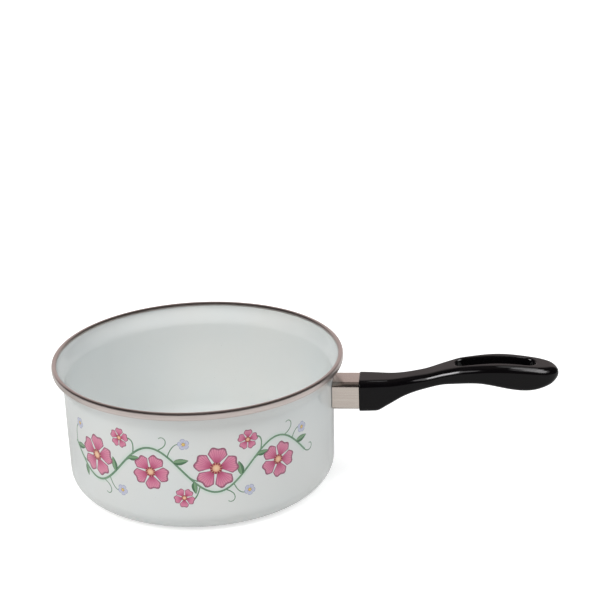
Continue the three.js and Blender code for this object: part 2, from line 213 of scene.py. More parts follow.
# Lifts of the print's layers off the enamel
WASH_LIFT = 0.012
VINE_LIFT = 0.020
STEM_LIFT = 0.024
LEAF_LIFT = 0.028
PETAL_LIFT = 0.034
EYE_LIFT = 0.042

# Flowers: arc, height, radius, arc where the stem leaves the vine, arc and height of its pull point
FLOWERS = [
    (-70, 51.5, 16, -92, -83, 38),
    (-23, 48.5, 14, -45, -36, 62),
    (24, 51.5, 16.5, 2, 11, 38),
    (71, 48.5, 14, 49, 58, 62),
]
SMALL_FLOWERS = [
    (-46.5, 71, 7.8, -36, -33, 74),
    (0.5, 29.5, 7.8, 12, 9, 26),
    (47.5, 70, 7.8, 57, 60, 73),
]
BLOSSOMS = [
    (-47, 30, 4.4, -58, -54, 27),
    (-89, 70, 4.4, -96, -97, 66),
    (2, 71, 4.4, -10, -6, 72),
    (47.5, 31, 4.4, 36, 40, 28),
    (94, 66, 4.4, 84, 88, 69),
]

# Tendrils: arc on the vine, heading, length, and bend at the start and at the end
TENDRILS = [
    (-64, -30, 17, 2, -26),
    (-17, 30, 17, -2, 26),
    (30, -30, 17, 2, -26),
    (77, 30, 17, -2, 26),
    (VINE_REACH, -45, 15, 4, 30),
]
LEAF_ARCS = [-95, -84, -52, -40, -6, 8, 42, 54, 88]

# Steels: dark and light screen colour, lowest and highest roughness, stretch and fineness of lines
STEELS = {
    "rolled_stainless": ((182, 171, 167), (195, 185, 181), (0.3, 0.38), (0.05, 0.05, 1), 900),
    "drawn_stainless": ((178, 168, 161), (188, 179, 171), (0.18, 0.26), (0.05, 1, 1), 900),
    "bare_steel": ((128, 126, 124), (160, 157, 153), (0.34, 0.5), (1, 1, 0.08), 420),
    "zinc_plate": ((168, 170, 172), (196, 196, 192), (0.24, 0.38), (1, 1, 1), 380),
}

# Floor and room
FLOOR_REACH = 6000
FLOOR_DROP = 0.3  # below the base
FLOOR_AWAY = (-0.25, 1, 0)  # over the floor, from the pan's front to its back
FLOOR_WHITE = 0.62  # glow that lifts the floor to white where it is seen
FLOOR_SHINE = 0.37  # glow of the floor where it is mirrored
BACK_WALL = (189, 8)  # azimuth and elevation
DARK_ROOM = (0.06, 0.054, 0.053, 1)
WARM_WALL = (0.80, 0.70, 0.69, 1)
CEILING_LIGHT = (0.30, 0.265, 0.255, 1)
LOW_SKY = (0.05, 0.051, 0.052, 1)
HIGH_SKY = (0.31, 0.313, 0.319, 1)

# Lamps: azimuth, elevation, strength, width in degrees, and colour
ROOM_LAMPS = {
    "key": (-41, 47, 1.64, 34, (1, 0.995, 0.975)),
    "fill": (73, 51, 1.12, 32, (0.955, 0.985, 1)),
    "front": (0, 15, 0.24, 40, (0.99, 1, 1)),
    "back": (192, 34, 1.0, 50, (1, 1, 1)),
}
GRIP_LAMPS = {
    "grip_left": (-44, 32, 5.6, 25, (1, 0.98, 1)),
    "grip_left_glow": (-38, 33, 2.4, 36, (1, 0.98, 1)),
    "grip_right": (52, 47, 3.8, 32, (1, 0.99, 1)),
    "grip_right_glow": (52, 46, 1.4, 48, (1, 0.99, 1)),
    "grip_high": (80, 68, 2.0, 25, (1, 0.99, 1)),
    "grip_tip": (150, 70, 0.45, 20, (1, 1, 1)),
}

# Camera, from the outlines of rim, wall and base
IMAGE_SIZE = 600
FOCAL_PIXELS = 1730.12
SENSOR = 36
CAMERA_AZIMUTH = 8.86
CAMERA_ELEVATION = 24.51
CAMERA_ROLL = 3.33
CAMERA_DISTANCE = 1.3  # metres
PAN_MIDDLE = 48.25  # height of the point that distance and pixel are given for
PAN_MIDDLE_PIXEL = (200.95, 414.0)


# Shape helpers


def arc(centre, radius, start, end, steps):
    """Points of a circle: centre plus radius times cosine and sine of even angles in degrees."""
    angles = np.radians(np.linspace(start, end, steps + 1))
    return np.array(centre) + radius * np.stack([np.cos(angles), np.sin(angles)], axis=-1)


def curve_through(stations, places):
    """Smooth curve through (place, value) stations, level at the first.

    Between two stations it is the cubic whose end slopes are the harmonic means of the neighbouring
    secants, so that it never overshoots.
    """
    at, value = np.array(stations, float).T
    secants = np.diff(value) / np.diff(at)
    before, after = secants[:-1], secants[1:]
    rising = before * after > 0
    means = np.where(rising, 2 * before * after / np.where(rising, before + after, 1), 0)
    slopes = np.concatenate([[0], means, secants[-1:]])
    i = np.clip(np.searchsorted(at, places, side="right") - 1, 0, len(at) - 2)
    span = at[i + 1] - at[i]
    t = (places - at[i]) / span
    blend = t * t * (3 - 2 * t)
    leave = t * (1 - t) ** 2 * slopes[i]
    arrive = t * t * (t - 1) * slopes[i + 1]
    return value[i] + (value[i + 1] - value[i]) * blend + span * (leave + arrive)


def sheet(points, close_rows=False, close_columns=False):
    """Vertices and four-sided faces of a grid of points: each face joins a row to the next one."""
    rows, columns = points.shape[:2]
    index = np.arange(rows * columns).reshape(rows, columns)
    if close_rows:
        index = np.concatenate([index, index[:1]], axis=0)
    if close_columns:
        index = np.concatenate([index, index[:, :1]], axis=1)
    corners = [index[:-1, :-1], index[:-1, 1:], index[1:, 1:], index[1:, :-1]]
    return points.reshape(-1, 3), np.stack(corners, axis=-1).reshape(-1, 4)


def join(sheets):
    """One set of vertices and faces from several, each counting on from the vertices before it."""
    counts = np.cumsum([0] + [len(vertices) for vertices, _ in sheets])
    vertices = np.concatenate([vertices for vertices, _ in sheets])
    faces = np.concatenate([faces + start for (_, faces), start in zip(sheets, counts)])
    return vertices, faces


def revolve(profile, segments):
    """Closed profile of radius and height turned about Z, by the cosine and sine of each turn."""
    turn = np.linspace(0, 2 * np.pi, segments, endpoint=False)[:, None]
    radius, height = profile[:, 0], profile[:, 1]
    rings = np.broadcast_arrays(radius * np.cos(turn), radius * np.sin(turn), height)
    return sheet(np.stack(rings, axis=-1), close_rows=True, close_columns=True)


def make_mesh(name, surface, uv=None):
    """Mesh in metres, with doubles merged and edges sharp where two faces turn by the sharp angle.

    Without a map its faces are turned outwards. With one it is an open sheet that already faces
    outwards, and its border is sharp.
    """
    vertices, faces = surface
    mesh = bpy.data.meshes.new(name)
    mesh.from_pydata((vertices * MM).tolist(), [], faces.tolist())
    if uv is not None:
        corners = np.empty(len(mesh.loops), int)
        mesh.loops.foreach_get("vertex_index", corners)
        layer = mesh.uv_layers.new(name="UVMap")
        layer.data.foreach_set("uv", uv[corners].astype(np.float32).ravel())
    edit = bmesh.new()
    edit.from_mesh(mesh)
    bmesh.ops.remove_doubles(edit, verts=edit.verts, dist=MERGE_DISTANCE)
    if uv is None:
        bmesh.ops.recalc_face_normals(edit, faces=edit.faces)
    edit.to_mesh(mesh)
    edit.free()
    mesh.shade_smooth()
    mesh.set_sharp_from_angle(angle=np.radians(SHARP_ANGLE))
    if uv is not None:
        mark_border(mesh)
    return mesh


def mark_border(mesh):
    """Edges that only one face uses made sharp, so that a sheet's shell shades evenly to them."""
    used = np.empty(len(mesh.loops), int)
    mesh.loops.foreach_get("edge_index", used)
    mesh.edges.foreach_set("use_edge_sharp", np.bincount(used, minlength=len(mesh.edges)) == 1)


def put_in_scene(name, data):
    """New object at the origin."""
    made = bpy.data.objects.new(name, data)
    bpy.context.scene.collection.objects.link(made)
    return made


def add_piece(name, mesh, finish, node=None):
    """Object that rides on the pan, takes a slot's finish and may stand for a solid."""
    piece = put_in_scene(name, mesh)
    piece.data.materials.append(finish)
    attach(piece, "root")
    if node:
        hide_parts(node)
    return piece


# Finishes


def tone(red, green, blue):
    """Scene colour of a screen colour given as 0 to 255, by the curve of standard screens."""
    screen = np.array([red, green, blue]) / 255
    linear = np.where(screen <= 0.04045, screen / 12.92, ((screen + 0.055) / 1.055) ** 2.4)
    return (*linear, 1)


def grey(share):
    """Scene colour that is a share of white."""
    return (share, share, share, 1)


def start_finish(name, **sockets):
    """New material with one shader, whose fixed values are set on its own sockets."""
    finish = bpy.data.materials.new(name)
    finish.use_nodes = True
    shader = finish.node_tree.nodes["Principled BSDF"]
    for socket, value in sockets.items():
        shader.inputs[socket.replace("_", " ")].default_value = value
    return finish, finish.node_tree, shader


def feed(shader, socket, source):
    """Link from a source to a socket of the shader."""
    shader.id_data.links.new(source, shader.inputs[socket])


def add_node(tree, kind, inputs=None, **settings):
    """Node with its settings and with inputs, linked or fixed, given by socket name or number."""
    made = tree.nodes.new(kind)
    for key, value in settings.items():
        setattr(made, key, value)
    for socket, source in (inputs or {}).items():
        if isinstance(source, bpy.types.NodeSocket):
            tree.links.new(source, made.inputs[socket])
        else:
            made.inputs[socket].default_value = source
    return made


def place_of(tree):
    """Object coordinates, in metres."""
    return add_node(tree, "ShaderNodeTexCoord").outputs["Object"]


def grain(tree, place, scale, detail=2.0, stretch=(1, 1, 1)):
    """Noise of a given scale, drawn out where stretch is below 1."""
    stretched = add_node(tree, "ShaderNodeMapping", {"Vector": place, "Scale": stretch})
    inputs = {"Vector": stretched.outputs[0], "Scale": scale, "Detail": detail}
    return add_node(tree, "ShaderNodeTexNoise", inputs).outputs["Fac"]


def spread(tree, source, low, high, start=0.0, end=1.0):
    """A value from start to end spread between low and high."""
    inputs = {"Value": source, "From Min": start, "From Max": end, "To Min": low, "To Max": high}
    return add_node(tree, "ShaderNodeMapRange", inputs).outputs["Result"]


def ramp(tree, source, stops):
    """Colour ramp with a list of (place, colour) stops."""
    made = add_node(tree, "ShaderNodeValToRGB", {"Fac": source})
    elements = made.color_ramp.elements
    while len(elements) < len(stops):
        elements.new(0.5)
    for element, (at, colour) in zip(elements, stops):
        element.position = at
        element.color = colour
    return made.outputs["Color"]


def mottled(tree, source, first, second):
    """Two screen colours in the patches or lines of a grain, soft where they meet."""
    return ramp(tree, source, [(0.3, tone(*first)), (0.7, tone(*second))])


def math_of(tree, operation, first, second=0.0):
    """Result of an operation on one or two values."""
    return add_node(tree, "ShaderNodeMath", {0: first, 1: second}, operation=operation).outputs[0]


def waves(tree, source, turn):
    """Sine of a value times a turn in radians."""
    return math_of(tree, "SINE", math_of(tree, "MULTIPLY", source, turn))


def reach_along(tree, place, way):
    """Dot product of a place or direction with a way."""
    made = add_node(tree, "ShaderNodeVectorMath", {0: place, 1: way}, operation="DOT_PRODUCT")
    return made.outputs["Value"]


def mix_colour(tree, factor, first, second):
    """Two colours mixed by a factor. The node's colour sockets come after its other kinds."""
    inputs = {"Factor": factor, 6: first, 7: second}
    return add_node(tree, "ShaderNodeMix", inputs, data_type="RGBA").outputs[2]


def roughen(tree, shader, height, strength, distance):
    """Bump from a height, with distance in metres."""
    inputs = {"Height": height, "Strength": strength, "Distance": distance}
    bump = add_node(tree, "ShaderNodeBump", inputs)
    feed(shader, "Normal", bump.outputs["Normal"])


def enamel_tone(tree):
    """White of the enamel: cool and warm in broad patches, with a rare grey speck in the glaze."""
    place = place_of(tree)
    white = mottled(tree, grain(tree, place, scale=14), (225, 229, 229), (229, 230, 228))
    specks = grain(tree, place, scale=900, detail=1.0)
    rare = ramp(tree, specks, [(0.80, grey(0)), (0.84, grey(1))])
    return mix_colour(tree, rare, white, tone(186, 186, 180))


def glaze(tree, shader):
    """Gloss of fired enamel: slightly uneven, with the shallow ripple that glaze keeps."""
    place = place_of(tree)
    gloss = spread(tree, grain(tree, place, scale=60), low=0.07, high=0.15)
    feed(shader, "Roughness", gloss)
    ripple = grain(tree, place, scale=220, detail=1.0)
    roughen(tree, shader, ripple, strength=0.12, distance=0.0002)


def steel_finish(name):
    """Bright steel with fine lines along the way it was rolled or polished."""
    dark, light, rough, stretch, fineness = STEELS[name]
    finish, tree, shader = start_finish(name, Metallic=1.0)
    place = place_of(tree)
    lines = grain(tree, place, fineness, detail=3.0, stretch=stretch)
    feed(shader, "Base Color", mottled(tree, lines, dark, light))
    smudges = spread(tree, grain(tree, place, scale=45), *rough)
    line_depth = spread(tree, lines, low=-0.03, high=0.03)
    feed(shader, "Roughness", math_of(tree, "ADD", smudges, line_depth))
    roughen(tree, shader, lines, strength=0.08, distance=0.0001)
    return finish


def phenolic_finish():
    """Black moulded phenolic: glossy, with faint brown clouds and fine wear in the gloss."""
    finish, tree, shader = start_finish("black_phenolic", Specular_IOR_Level=0.13)
    place = place_of(tree)
    black = mottled(tree, grain(tree, place, scale=35), (7, 6, 8), (11, 9, 10))
    feed(shader, "Base Color", black)
    wear = grain(tree, place, scale=160, detail=4.0)
    feed(shader, "Roughness", spread(tree, wear, low=0.06, high=0.11))
    roughen(tree, shader, grain(tree, place, scale=700), strength=0.06, distance=0.0001)
    return finish


def uv_parts(tree):
    """The piece's own map: along and across."""
    made = add_node(tree, "ShaderNodeUVMap", uv_map="UVMap")
    parts = add_node(tree, "ShaderNodeSeparateXYZ", {0: made.outputs[0]})
    return parts.outputs[:2]


def from_middle(tree, across):
    """Distance from the middle line of a map from 0 to 1: 0 in the middle, 1 at both edges."""
    shifted = math_of(tree, "SUBTRACT", across, 0.5)
    return math_of(tree, "MULTIPLY", math_of(tree, "ABSOLUTE", shifted), 2.0)


def outlined(tree, inside, rim, line, start, end=0.95):
    """A colour that turns into that of an outline, as the rim's value rises from start to end."""
    share = ramp(tree, rim, [(start, grey(0)), (end, grey(0.8))])
    return mix_colour(tree, share, inside, line)


def fired_finish(name, colour_of):
    """Enamel or print: a colour worked out by a function, under the gloss of the glaze."""
    finish, tree, shader = start_finish(name, IOR=1.5)
    feed(shader, "Base Color", colour_of(tree))
    glaze(tree, shader)
    return finish


def petal_colour(tree):
    """Pink that deepens to the eye, with fine veins along the petal and a darker outline."""
    along, across = uv_parts(tree)
    pinks = [
        (0.0, tone(140, 34, 72)),
        (0.22, tone(190, 76, 118)),
        (0.55, tone(217, 124, 158)),
        (0.90, tone(226, 144, 171)),
    ]
    stripes = waves(tree, across, VEIN_TURN)
    veins = ramp(tree, stripes, [(0.62, grey(0)), (0.98, grey(0.55))])
    veined = mix_colour(tree, veins, ramp(tree, along, pinks), tone(170, 58, 98))
    rim = math_of(tree, "MAXIMUM", along, from_middle(tree, across))
    return outlined(tree, veined, rim, tone(112, 58, 82), start=0.86)


def eye_colour(tree):
    """Peach eye with a deep red ring broken into stamens."""
    along, across = uv_parts(tree)
    rings = [
        (0.0, tone(246, 214, 176)),
        (0.50, tone(236, 178, 142)),
        (0.66, tone(160, 44, 62)),
        (0.92, tone(138, 26, 60)),
    ]
    dots = waves(tree, across, STAMEN_TURN)
    stamens = ramp(tree, dots, [(0.3, grey(0)), (0.9, grey(0.45))])
    return mix_colour(tree, stamens, ramp(tree, along, rings), tone(242, 200, 158))


def vine_colour(tree):
    """Green line, darker along both edges and uneven as a brushed line is."""
    _, across = uv_parts(tree)
    brushed = grain(tree, place_of(tree), scale=90)
    green = mottled(tree, brushed, (98, 140, 108), (124, 162, 128))
    return outlined(tree, green, from_middle(tree, across), tone(58, 94, 70), start=0.45)


def leaf_colour(tree):
    """Leaf with one light and one dark half, a pale midrib and a dark outline."""
    _, across = uv_parts(tree)
    greens = [
        (0.0, tone(70, 112, 78)),
        (0.46, tone(84, 128, 90)),
        (0.50, tone(168, 196, 160)),
        (0.56, tone(118, 158, 118)),
    ]
    rim = from_middle(tree, across)
    return outlined(tree, ramp(tree, across, greens), rim, tone(52, 84, 62), start=0.70, end=0.96)


def wash_colour(tree):
    """Pale green wash that fades into the enamel at its edges."""
    _, across = uv_parts(tree)
    soft = ramp(tree, from_middle(tree, across), [(0.1, grey(0.7)), (0.95, grey(0))])
    return mix_colour(tree, soft, enamel_tone(tree), tone(198, 220, 206))


def blossom_colour(tree):
    """Pale blue petals with a lilac base and a grey outline."""
    along, across = uv_parts(tree)
    blues = [(0.0, tone(164, 160, 200)), (0.5, tone(198, 200, 223)), (1.0, tone(210, 214, 230))]
    rim = math_of(tree, "MAXIMUM", along, from_middle(tree, across))
    return outlined(tree, ramp(tree, along, blues), rim, tone(142, 143, 178), start=0.80)


def bud_colour(tree):
    """Yellow dot in the middle of a blossom, darker at its edge."""
    along, _ = uv_parts(tree)
    return ramp(tree, along, [(0.3, tone(240, 214, 120)), (1.0, tone(190, 140, 70))])


# Bowl and rim band


def wall_radius(height):
    """Outside of the straight wall: it leans out evenly from the foot to the flare."""
    share = (np.clip(height, BASE_CORNER, FLARE_Z) - BASE_CORNER) / (FLARE_Z - BASE_CORNER)
    return FOOT_RADIUS + WALL_DRAFT * share


def bowl_line(inset):
    """Sheet from the middle of the base to the lip, moved into the bowl by an inset.

    A shallow dish, a quarter circle, a straight wall, and a flare that follows t t (3 - 2 t).
    """
    dish_radius = np.linspace(0, FOOT_RADIUS - BASE_CORNER, DISH_POINTS)
    dish = BASE_DISH * (1 - (dish_radius / dish_radius[-1]) ** 2) ** 2
    base = np.stack([dish_radius, inset + dish], axis=-1)
    corner_centre = (FOOT_RADIUS - BASE_CORNER, BASE_CORNER)
    corner = arc(corner_centre, BASE_CORNER - inset, -90, 0, CORNER_STEPS)[1:]
    height = np.linspace(BASE_CORNER, FLARE_Z, WALL_POINTS)[1:-1]
    wall = np.stack([wall_radius(height) - inset, height], axis=-1)
    t = np.linspace(0, 1, FLARE_POINTS)
    reach = FLARE_REACH * t * t * (3 - 2 * t)
    flare = np.stack([WALL_RADIUS - inset + reach, FLARE_Z + FLARE_HEIGHT * t], axis=-1)
    return np.concatenate([base, corner, wall, flare])


def bead_arc(grow, start, end, steps):
    """Section of the bead, the opening in the lip grown by a distance.

    The cosine of each angle gives the radius, and its sine, raised to a power that straightens the
    sides, the height.
    """
    across, up = arc((0, 0), 1, start, end, steps).T
    up = np.sign(up) * np.abs(up) ** (2 / BEAD_FLATNESS)
    radius = BEAD_CENTRE + (LIP_FOLD + grow) * across
    return np.stack([radius, BEAD_Z + (LIP_DROP + grow) * up], axis=-1)


def half_round(start, end):
    """Half circle over the line between two points, on its right, without the two points."""
    middle, reach = (start + end) / 2, (start - end) / 2
    heading = np.degrees(np.arctan2(reach[1], reach[0]))
    return arc(middle, np.hypot(*reach), heading, heading + 180, BAND_EDGE_STEPS)[1:-1]


def enamel_bowl(finish):
    """One drawn sheet turned about Z: outside up to the lip, over it and back, down the inside."""
    lip_back = bead_arc(0, 180, -LIP_END, LIP_BACK_STEPS)[1:]
    lip_front = bead_arc(BOWL_SHEET, -LIP_END, 180, LIP_FRONT_STEPS)
    inside = bowl_line(BOWL_SHEET)[::-1][1:]
    profile = np.concatenate([bowl_line(0), lip_back, lip_front, inside])
    mesh = make_mesh("enamel_bowl", revolve(profile, ROUND_SEGMENTS))
    add_piece("enamel_bowl", mesh, finish, "pan_body")


def rolled_rim(finish):
    """Strip turned about Z: an open ring round the lip, with half-round edges."""
    lower, upper = -90 - BAND_TUCK, 180 - BAND_LAP
    outside = bead_arc(BAND_OUTER, lower, upper, BAND_STEPS)
    inside = bead_arc(BAND_INNER, upper, lower, BAND_STEPS)
    upper_edge = half_round(outside[-1], inside[0])
    lower_edge = half_round(inside[-1], outside[0])
    profile = np.concatenate([outside, upper_edge, inside, lower_edge])
    mesh = make_mesh("rolled_rim", revolve(profile, ROUND_SEGMENTS))
    add_piece("rolled_rim", mesh, finish, "rim_band")


# Ferrule


def rounded_rectangle(width, height, radius):
    """Outline of a rectangle with round corners: four quarter circles, one after the other."""
    x, y = width / 2 - radius, height / 2 - radius
    corners = [((x, -y), -90), ((x, y), 0), ((-x, y), 90), ((-x, -y), 180)]
    turns = [arc(centre, radius, at, at + 90, SLEEVE_CORNER_STEPS) for centre, at in corners]
    return np.concatenate(turns)


def sleeve_row(inset, share, shift):
    """Outline of the ferrule moved in by an inset, at a share of the way from its pan end.

    The pan end lies where a circle round the pan's axis, one gap larger than the wall, meets the
    line along X through each point.
    """
    width, height = SLEEVE_WIDTH - 2 * inset, SLEEVE_HEIGHT - 2 * inset
    outline = rounded_rectangle(width, height, SLEEVE_CORNER - inset)
    y, z = outline[:, 0], outline[:, 1] + AXIS_Z
    start = np.sqrt((wall_radius(z) + SEAT_GAP) ** 2 - y**2)
    return np.stack([start + (JOINT_X - start) * share + shift, y, z], axis=-1)


def ferrule_sleeve(finish):
    """Rounded rectangle carried along X from the wall's curve to the joint, and back inside.

    A row at each end of both faces is moved in and along by the broken edge of the sheet.
    """
    edge, thick = SLEEVE_EDGE, SLEEVE_SHEET
    along = np.linspace(0, 1, SLEEVE_POINTS)
    outside, inside = 0 * along, 0 * along + thick
    inset = np.concatenate([[edge], outside, [edge, thick - edge], inside, [thick - edge]])
    share = np.concatenate([[0], along, [1, 1], along[::-1], [0]])
    shift = edge * np.concatenate([[0], 1 - 2 * along, [0, 0], 2 * along - 1, [0]])
    rows = np.array([sleeve_row(*row) for row in zip(inset, share, shift)])
    mesh = make_mesh("ferrule_sleeve", sheet(rows, close_rows=True, close_columns=True))
    add_piece("ferrule_sleeve", mesh, finish, "ferrule")


# Grip


def closing(place, stretch):
    """Share of the full size left at a place: a blunt quarter curve down to nothing at the tip."""
    u = np.clip((place - GRIP_LENGTH + stretch) / stretch, 0, 1)
    return (1 - u**TIP_BLUNT) ** (1 / TIP_BLUNT)


def slot_half(place):
    """Half the width of the slot at its rim: a straight stretch between two half circles."""
    past = place - np.clip(place, SLOT_NEAR, SLOT_FAR)
    return np.sqrt(np.maximum(SLOT_RIM**2 - past**2, 0))


def grip_places():
    """Places of the sections along the grip.

    They are even, but spaced as cosines round the slot's ends and as a power of a sine at the tip.
    """
    quarter = np.radians(np.linspace(0, 90, SLOT_END_SECTIONS))
    slot_start = SLOT_NEAR - SLOT_RIM * np.cos(quarter)
    slot_stop = (SLOT_FAR + SLOT_RIM * np.cos(quarter))[::-1]
    root = np.linspace(ROOT_EDGE, slot_start[0], ROOT_SECTIONS)[:-1]
    straight = np.linspace(SLOT_NEAR, SLOT_FAR, SLOT_SECTIONS)[1:-1]
    tip = GRIP_LENGTH - TIP_ROUND
    lead = np.linspace(slot_stop[-1], tip, LEAD_SECTIONS)[1:-1]
    tip_turn = np.radians(np.linspace(0, 90, TIP_SECTIONS))
    tip_round = tip + TIP_ROUND * np.sin(tip_turn) ** (2 / TIP_BLUNT)
    return np.concatenate([root, slot_start, straight, slot_stop, lead, tip_round])


def half_rings(place, half, top, under, upper, lower, inner):
    """Half sections from the middle of the top, round one side, to the middle of the underside.

    Two level runs, two quarter ellipses and an upright side, for all places at once. upper and
    lower hold the ellipses' width and height, and inner is where the level runs start and end.
    """
    run, side = np.linspace(0, 1, RUN_POINTS), np.linspace(0, 1, SIDE_POINTS)
    turn = np.radians(np.linspace(90, 0, EDGE_POINTS))
    column = [values[:, None] for values in (place, half, top, under, *upper, *lower, inner)]
    place, half, top, under, upper_y, upper_z, lower_y, lower_z, inner = column
    y = [
        inner + (half - upper_y - inner) * run,
        half - upper_y + upper_y * np.cos(turn[1:]),
        half + 0 * side[1:-1],
        half - lower_y + lower_y * np.cos(turn[::-1]),
        inner + (half - lower_y - inner) * run[::-1][1:],
    ]
    side_top, side_under = top - upper_z, under + lower_z
    z = [
        top + 0 * run,
        side_top + upper_z * np.sin(turn[1:]),
        side_top + (side_under - side_top) * side[1:-1],
        side_under - lower_z * np.sin(turn[::-1]),
        under + 0 * run[1:],
    ]
    y, z = np.concatenate(y, axis=1), np.concatenate(z, axis=1)
    return np.stack([JOINT_X + place + 0 * y, y, AXIS_Z + z], axis=-1)


def grip_sections(place, inset):
    """Sizes of the sections: half width, top, underside and the quarter ellipses of both edges.

    Where the tip closes, the round edges grow until the section is an ellipse.
    """
    middle = (TIP_TOP + TIP_UNDERSIDE) / 2
    rounded, taper = closing(place, TIP_ROUND), closing(place, TIP_TAPER)
    top = middle + (curve_through(TOP_STATIONS, place) - middle) * rounded - inset
    under = middle + (curve_through(UNDER_STATIONS, place) - middle) * rounded + inset
    half = curve_through(WIDTH_STATIONS, place) * taper / 2 - inset
    tall = (top - under) / 2

    def edge(radius):
        """Width and height of one round edge."""
        width = half + (np.minimum(radius - inset, half) - half) * taper
        height = tall + (np.minimum(radius - inset, tall) - tall) * taper
        return width, height

    return half, top, under, edge(UPPER_ROUND), edge(LOWER_ROUND)


def slot_rings(place, top, under):
    """Wall of the slot on one side, moved into the slot square to its outline.

    The rim's quarter circle, the wall, and the lower rim's quarter circle.
    """
    outward_x = (place - np.clip(place, SLOT_NEAR, SLOT_FAR)) / SLOT_RIM
    outward_y = slot_half(place) / SLOT_RIM
    turn = np.radians(np.linspace(0, 90, SLOT_EDGE_POINTS))
    wall = np.linspace(0, 1, SLOT_WALL_POINTS)[1:-1]
    moved_in = SLOT_EDGE * np.concatenate([np.sin(turn), 0 * wall + 1, np.sin(turn)[::-1]])
    drop = SLOT_EDGE * (1 - np.cos(turn))
    x = place[:, None] - outward_x[:, None] * moved_in
    y = slot_half(place)[:, None] - outward_y[:, None] * moved_in
    upper, lower = top[:, None] - drop, (under[:, None] + drop)[:, ::-1]
    between = upper[:, -1:] + (lower[:, :1] - upper[:, -1:]) * wall
    z = np.concatenate([upper, between, lower], axis=1)
    return np.stack([JOINT_X + x, y, AXIS_Z + z], axis=-1)


def tenon_rings():
    """Half sections of the tenon: its closed end, two rings, and the face of the root round it."""
    inset = SLEEVE_SHEET + SEAT_GAP
    corner = SLEEVE_CORNER - SLEEVE_SHEET
    share = np.array([0, 1, 1, 1])
    bevel = np.array([0, ROOT_EDGE, 0, 0])
    place = np.array([-TENON_LENGTH, -TENON_LENGTH, ROOT_EDGE - TENON_LENGTH, 0])
    half = share * (SLEEVE_WIDTH / 2 - inset) - bevel
    tall = share * (SLEEVE_HEIGHT / 2 - inset) - bevel
    edges = (share * corner, share * corner)
    return half_rings(place, half, tall, -tall, edges, edges, 0 * place)


def mirrored(points):
    """The same points on the other side of the handle."""
    return points * (1, -1, 1)


def bore_cutter():
    """Screw bore and washer seat: a stepped profile turned about the handle axis."""
    seat = JOINT_X + SEAT_AT
    start, end = JOINT_X - TENON_LENGTH - BORE_PAST, seat + SEAT_REACH
    radius = [0, BORE_RADIUS, BORE_RADIUS, SEAT_RADIUS, SEAT_RADIUS, 0]
    place = [start, start, seat, seat, end, end]
    vertices, faces = revolve(np.stack([radius, place], axis=-1), BORE_SEGMENTS)
    vertices = np.stack([vertices[:, 2], vertices[:, 0], vertices[:, 1] + AXIS_Z], axis=-1)
    return put_in_scene("bore_cutter", make_mesh("bore_cutter", (vertices, faces)))


def cut(mesh, cutter):
    """Mesh with a cutter taken out of it, and the slivers that this leaves dissolved."""
    body = put_in_scene("uncut", mesh)
    difference = body.modifiers.new("cut", "BOOLEAN")
    difference.object = cutter
    difference.solver = "EXACT"
    evaluated = body.evaluated_get(bpy.context.evaluated_depsgraph_get())
    result = bpy.data.meshes.new_from_object(evaluated)
    bpy.data.objects.remove(body)
    bpy.data.objects.remove(cutter)
    edit = bmesh.new()
    edit.from_mesh(result)
    bmesh.ops.remove_doubles(edit, verts=edit.verts, dist=SLIVER)
    bmesh.ops.dissolve_degenerate(edit, edges=edit.edges, dist=SLIVER)
    edit.to_mesh(result)
    edit.free()
    result.set_sharp_from_angle(angle=np.radians(SHARP_ANGLE))
    return result


def moulded_grip(finish):
    """Half sections on both sides, the slot's wall between them, the tenon, and the bore's cut."""
    place = grip_places()
    half, top, under, upper, lower = grip_sections(place, np.zeros_like(place))
    body = half_rings(place, half, top, under, upper, lower, slot_half(place))
    turn = np.radians(np.linspace(0, 90, ROOT_EDGE_SECTIONS)[:-1])
    root_place = ROOT_EDGE * (1 - np.cos(turn))
    root_sections = grip_sections(root_place, ROOT_EDGE * (1 - np.sin(turn)))
    skin = np.concatenate([tenon_rings(), half_rings(root_place, *root_sections, 0 * turn), body])
    in_slot = (place >= SLOT_NEAR - SLOT_RIM) & (place <= SLOT_FAR + SLOT_RIM)
    wall = slot_rings(place[in_slot], top[in_slot], under[in_slot])
    sides = [sheet(points) for points in (skin, mirrored(skin), wall, mirrored(wall))]
    mesh = cut(make_mesh("uncut_grip", join(sides)), bore_cutter())
    mesh.name = "moulded_grip"
    return add_piece("moulded_grip", mesh, finish, "handle_grip")


# Print on the wall


def on_wall(across, height, lift):
    """Points of the wall: arc length across the front, height, and a lift off the enamel."""
    turn = across / WALL_RADIUS
    radius = wall_radius(height) + lift
    return np.stack([radius * np.sin(turn), -radius * np.cos(turn), height], axis=-1)


def grid_axes(grid, low, high):
    """Parameters of a grid: one from 0 to 1 down its rows, one from low to high along them."""
    rows, columns = grid
    return np.linspace(0, 1, rows)[:, None], np.linspace(low, high, columns)[None, :]


def columns_of(table, axes):
    """Columns of a table, each with a number of axes behind it for a grid."""
    return [column.reshape(-1, *[1] * axes) for column in np.array(table, float).T]


def add_print(name, across, height, lift, along_map, across_map, finish):
    """Printed piece: grids of wall points in the last two axes, given a thin closed shell.

    Its map holds along and across, which are the same for each grid.
    """
    points = on_wall(across, height, lift)
    grids = points.reshape(-1, *points.shape[-3:])
    vertices, faces = join([sheet(grid) for grid in grids])
    corner = vertices[faces[0]]
    normal = np.cross(corner[2] - corner[0], corner[3] - corner[1])
    outward = normal @ (corner[0] * (1, 1, 0))
    faces = faces if outward > 0 else faces[:, ::-1]
    pair = np.stack(np.broadcast_arrays(along_map, across_map), axis=-1)
    uv = np.broadcast_to(pair, (*across.shape, 2)).reshape(-1, 2)
    piece = add_piece(name, make_mesh(name, (vertices, faces), uv), finish)
    shell = piece.modifiers.new("shell", "SOLIDIFY")
    shell.thickness = PRINT_SHELL * MM
    shell.offset = -1


